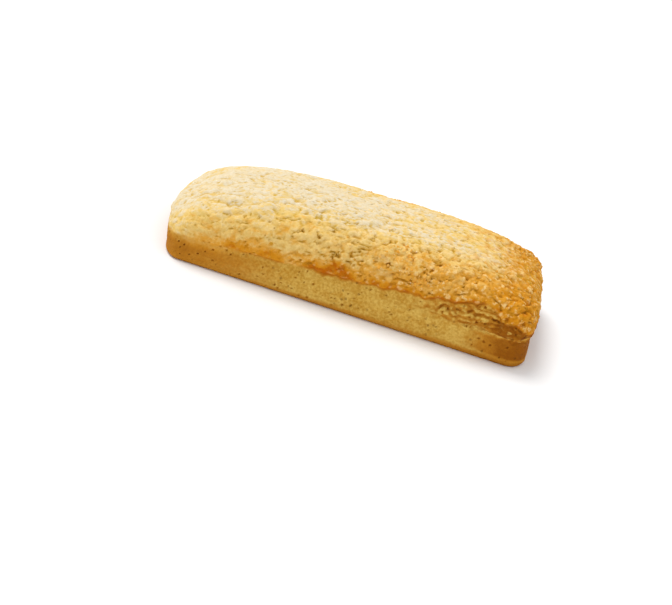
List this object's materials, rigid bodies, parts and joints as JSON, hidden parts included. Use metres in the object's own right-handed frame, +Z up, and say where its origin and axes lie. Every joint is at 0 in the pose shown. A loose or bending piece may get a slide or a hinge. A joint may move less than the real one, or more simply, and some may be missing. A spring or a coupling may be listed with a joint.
{
  "type": "milk biscuit",
  "caption": "Long soft-baked biscuit bar with a cracked golden crust domed over a smooth straight wall and a flat underside.",
  "frame": {"origin": "on the resting plane, under the middle of the biscuit's bounding box", "axes": "+X along the bar, towards its higher and squarer end; +Y across it; +Z up, out of the crust"},
  "size_m": [0.1114, 0.0458, 0.0239],
  "materials": {
    "baked_crust": "matt, golden to cream baked crust"
  },
  "bodies": {
    "root": {"biscuit": "baked_crust"}
  },
  "joints": []
}
